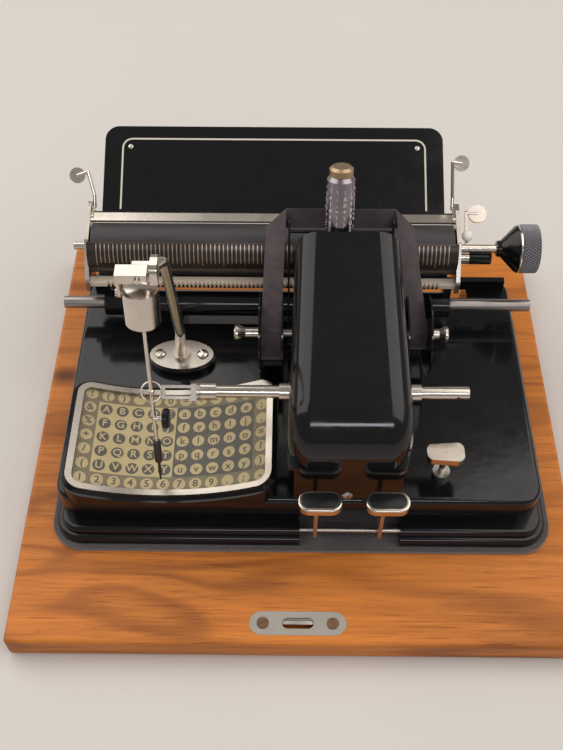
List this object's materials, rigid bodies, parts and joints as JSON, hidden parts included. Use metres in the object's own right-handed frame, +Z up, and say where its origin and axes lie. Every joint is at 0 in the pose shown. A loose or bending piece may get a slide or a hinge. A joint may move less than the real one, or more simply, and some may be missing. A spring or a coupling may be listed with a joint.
{
  "type": "index typewriter",
  "caption": "Desk index typewriter on an oak baseboard: pointer stylus over a curved letter plate, type cylinder under a black hood, and a platen carriage.",
  "frame": {"origin": "middle of the baseboard's underside", "axes": "+X to the user's right, +Y to the back, +Z up"},
  "size_m": [0.33, 0.306, 0.203],
  "materials": {
    "oak": "oiled oak",
    "felt": "thick grey felt",
    "black_enamel": "gloss black enamel",
    "nickel": "nickel plate",
    "steel": "plain steel",
    "rubber": "hard rubber",
    "printed_card": "printed card",
    "cover_glass": "clear sheet",
    "ribbon_cloth": "inked cotton",
    "scale_enamel": "brown black enamel with ticks",
    "knob_grip": "knurled hard rubber",
    "type_metal": "cast type metal",
    "cap_brass": "dull brass",
    "dark_steel": "blued steel"
  },
  "bodies": {
    "root": {"baseboard": "oak", "strike_plate": "nickel", "strike_plate_screws": "steel", "felt_pad": "felt", "base_casting": "black_enamel", "base_fixing_screws": "steel", "index_bezel": "nickel", "index_card": "printed_card", "index_glass": "cover_glass", "gooseneck_flange": "nickel", "gooseneck_screws": "steel", "gooseneck_tube": "nickel", "type_housing": "black_enamel", "hood": "black_enamel", "arm_bushes": "black_enamel", "guide_rod": "nickel", "rod_support": "black_enamel", "rear_rail": "black_enamel", "key_rods": "steel", "back_key_collar": "steel", "spool_axles": "steel", "ribbon_strips": "ribbon_cloth"},
    "carriage": {"carriage_sleeve": "black_enamel", "carriage_rack": "nickel", "left_side_plate": "nickel", "right_side_plate": "nickel", "scale_strip": "scale_enamel", "paper_pan": "black_enamel", "paper_table": "black_enamel"},
    "platen": {"platen": "rubber", "platen_shaft": "nickel", "platen_knob": "knob_grip"},
    "feed_roller": {"feed_roller": "rubber"},
    "paper_bail": {"paper_bail": "nickel"},
    "line_space_lever": {"line_space_lever": "nickel"},
    "type_carrier": {"type_carrier": "black_enamel", "ribbon_guide": "black_enamel", "ribbon_crossing": "ribbon_cloth"},
    "type_spindle": {"type_spindle": "steel"},
    "type_cylinder": {"type_cylinder": "type_metal", "type_cap": "cap_brass"},
    "arm_slide": {"arm_collar": "nickel"},
    "pointer_arm": {"pointer_arm": "nickel", "arm_fork": "nickel"},
    "stylus_yoke": {"stylus_yoke": "nickel"},
    "stylus": {"stylus_barrel": "nickel", "stylus_rod": "nickel", "stylus_grip": "black_enamel", "stylus_pointer": "dark_steel"},
    "print_key": {"print_key_lever": "steel", "print_key_cap": "nickel"},
    "space_key": {"space_key_lever": "steel", "space_key_cap": "nickel"},
    "back_key": {"back_key": "nickel"},
    "left_spool": {"left_spool": "black_enamel", "left_spool_knob": "nickel", "left_ribbon_roll": "ribbon_cloth"},
    "right_spool": {"right_spool": "black_enamel", "right_spool_knob": "nickel", "right_ribbon_roll": "ribbon_cloth"}
  },
  "joints": [
    {"name": "carriage_slide", "type": "slide", "parent": "root", "child": "carriage", "axis": [1, 0, 0], "range_m": [-0.086, 0.104]},
    {"name": "platen_turn", "type": "hinge", "parent": "carriage", "child": "platen", "pos_m": [0, 0.0723, 0.1011], "axis": [1, 0, 0], "continuous": true},
    {"name": "feed_roller_turn", "type": "hinge", "parent": "carriage", "child": "feed_roller", "pos_m": [0, 0.0692, 0.0827], "axis": [1, 0, 0], "continuous": true},
    {"name": "paper_bail_lift", "type": "hinge", "parent": "carriage", "child": "paper_bail", "pos_m": [0, 0.0943, 0.1128], "axis": [-1, 0, 0], "range_deg": [0, 60]},
    {"name": "line_space_pull", "type": "hinge", "parent": "carriage", "child": "line_space_lever", "pos_m": [0, 0.0733, 0.0921], "axis": [1, 0, 0], "range_deg": [0, 22], "stiffness_Nm_per_rad": 0.05, "springref_deg": -17.19},
    {"name": "print_key_press", "type": "hinge", "parent": "root", "child": "print_key", "pos_m": [0, -0.02, 0.036], "axis": [1, 0, 0], "range_deg": [0, 3.58], "stiffness_Nm_per_rad": 4, "springref_deg": -5.73},
    {"name": "space_key_press", "type": "hinge", "parent": "root", "child": "space_key", "pos_m": [0, -0.02, 0.036], "axis": [1, 0, 0], "range_deg": [0, 3.58], "stiffness_Nm_per_rad": 4, "springref_deg": -5.73},
    {"name": "back_key_press", "type": "slide", "parent": "root", "child": "back_key", "axis": [0, 0, -1], "range_m": [0, 0.008], "stiffness_N_per_m": 100, "springref_m": -0.005},
    {"name": "carrier_swing", "type": "hinge", "parent": "root", "child": "type_carrier", "pos_m": [0, 0.0239, 0.0649], "axis": [-1, 0, 0], "range_deg": [0, 8.4]},
    {"name": "spindle_drop", "type": "slide", "parent": "type_carrier", "child": "type_spindle", "axis": [0, -0.3256, -0.9455], "range_m": [0, 0.0276]},
    {"name": "cylinder_turn", "type": "hinge", "parent": "type_spindle", "child": "type_cylinder", "pos_m": [0.0224, 0.0239, 0.0649], "axis": [0, 0.3256, 0.9455], "range_deg": [-141, 172]},
    {"name": "arm_shift", "type": "slide", "parent": "root", "child": "arm_slide", "axis": [1, 0, 0], "range_m": [-0.0255, 0.0312]},
    {"name": "arm_roll", "type": "hinge", "parent": "arm_slide", "child": "pointer_arm", "pos_m": [0, -0.0415, 0.104], "axis": [-1, 0, 0], "range_deg": [0, 74.3]},
    {"name": "yoke_swing", "type": "hinge", "parent": "root", "child": "stylus_yoke", "pos_m": [-0.0791, -0.041, 0.1965], "axis": [0, -1, 0], "range_deg": [-19.1, 23.3]},
    {"name": "stylus_tilt", "type": "hinge", "parent": "stylus_yoke", "child": "stylus", "pos_m": [-0.0791, -0.041, 0.185], "axis": [1, 0, 0], "range_deg": [0, 25.9]},
    {"name": "left_spool_turn", "type": "hinge", "parent": "root", "child": "left_spool", "pos_m": [-0.017, 0.0167, 0.084], "axis": [1, 0, 0], "continuous": true},
    {"name": "right_spool_turn", "type": "hinge", "parent": "root", "child": "right_spool", "pos_m": [0.0706, 0.0167, 0.084], "axis": [1, 0, 0], "continuous": true}
  ],
  "couplings": [
    {"joint": "feed_roller_turn", "follows": "platen_turn", "ratio": -3.575},
    {"joint": "carrier_swing", "follows": "print_key_press", "ratio": 2.345},
    {"joint": "arm_roll", "follows": "spindle_drop", "rad_per_m": 46.922},
    {"joint": "stylus_tilt", "follows": "spindle_drop", "rad_per_m": 16.1},
    {"joint": "cylinder_turn", "follows": "arm_shift", "rad_per_m": 95.5},
    {"joint": "yoke_swing", "follows": "arm_shift", "rad_per_m": 12.9},
    {"joint": "right_spool_turn", "follows": "left_spool_turn", "ratio": 1.7}
  ]
}
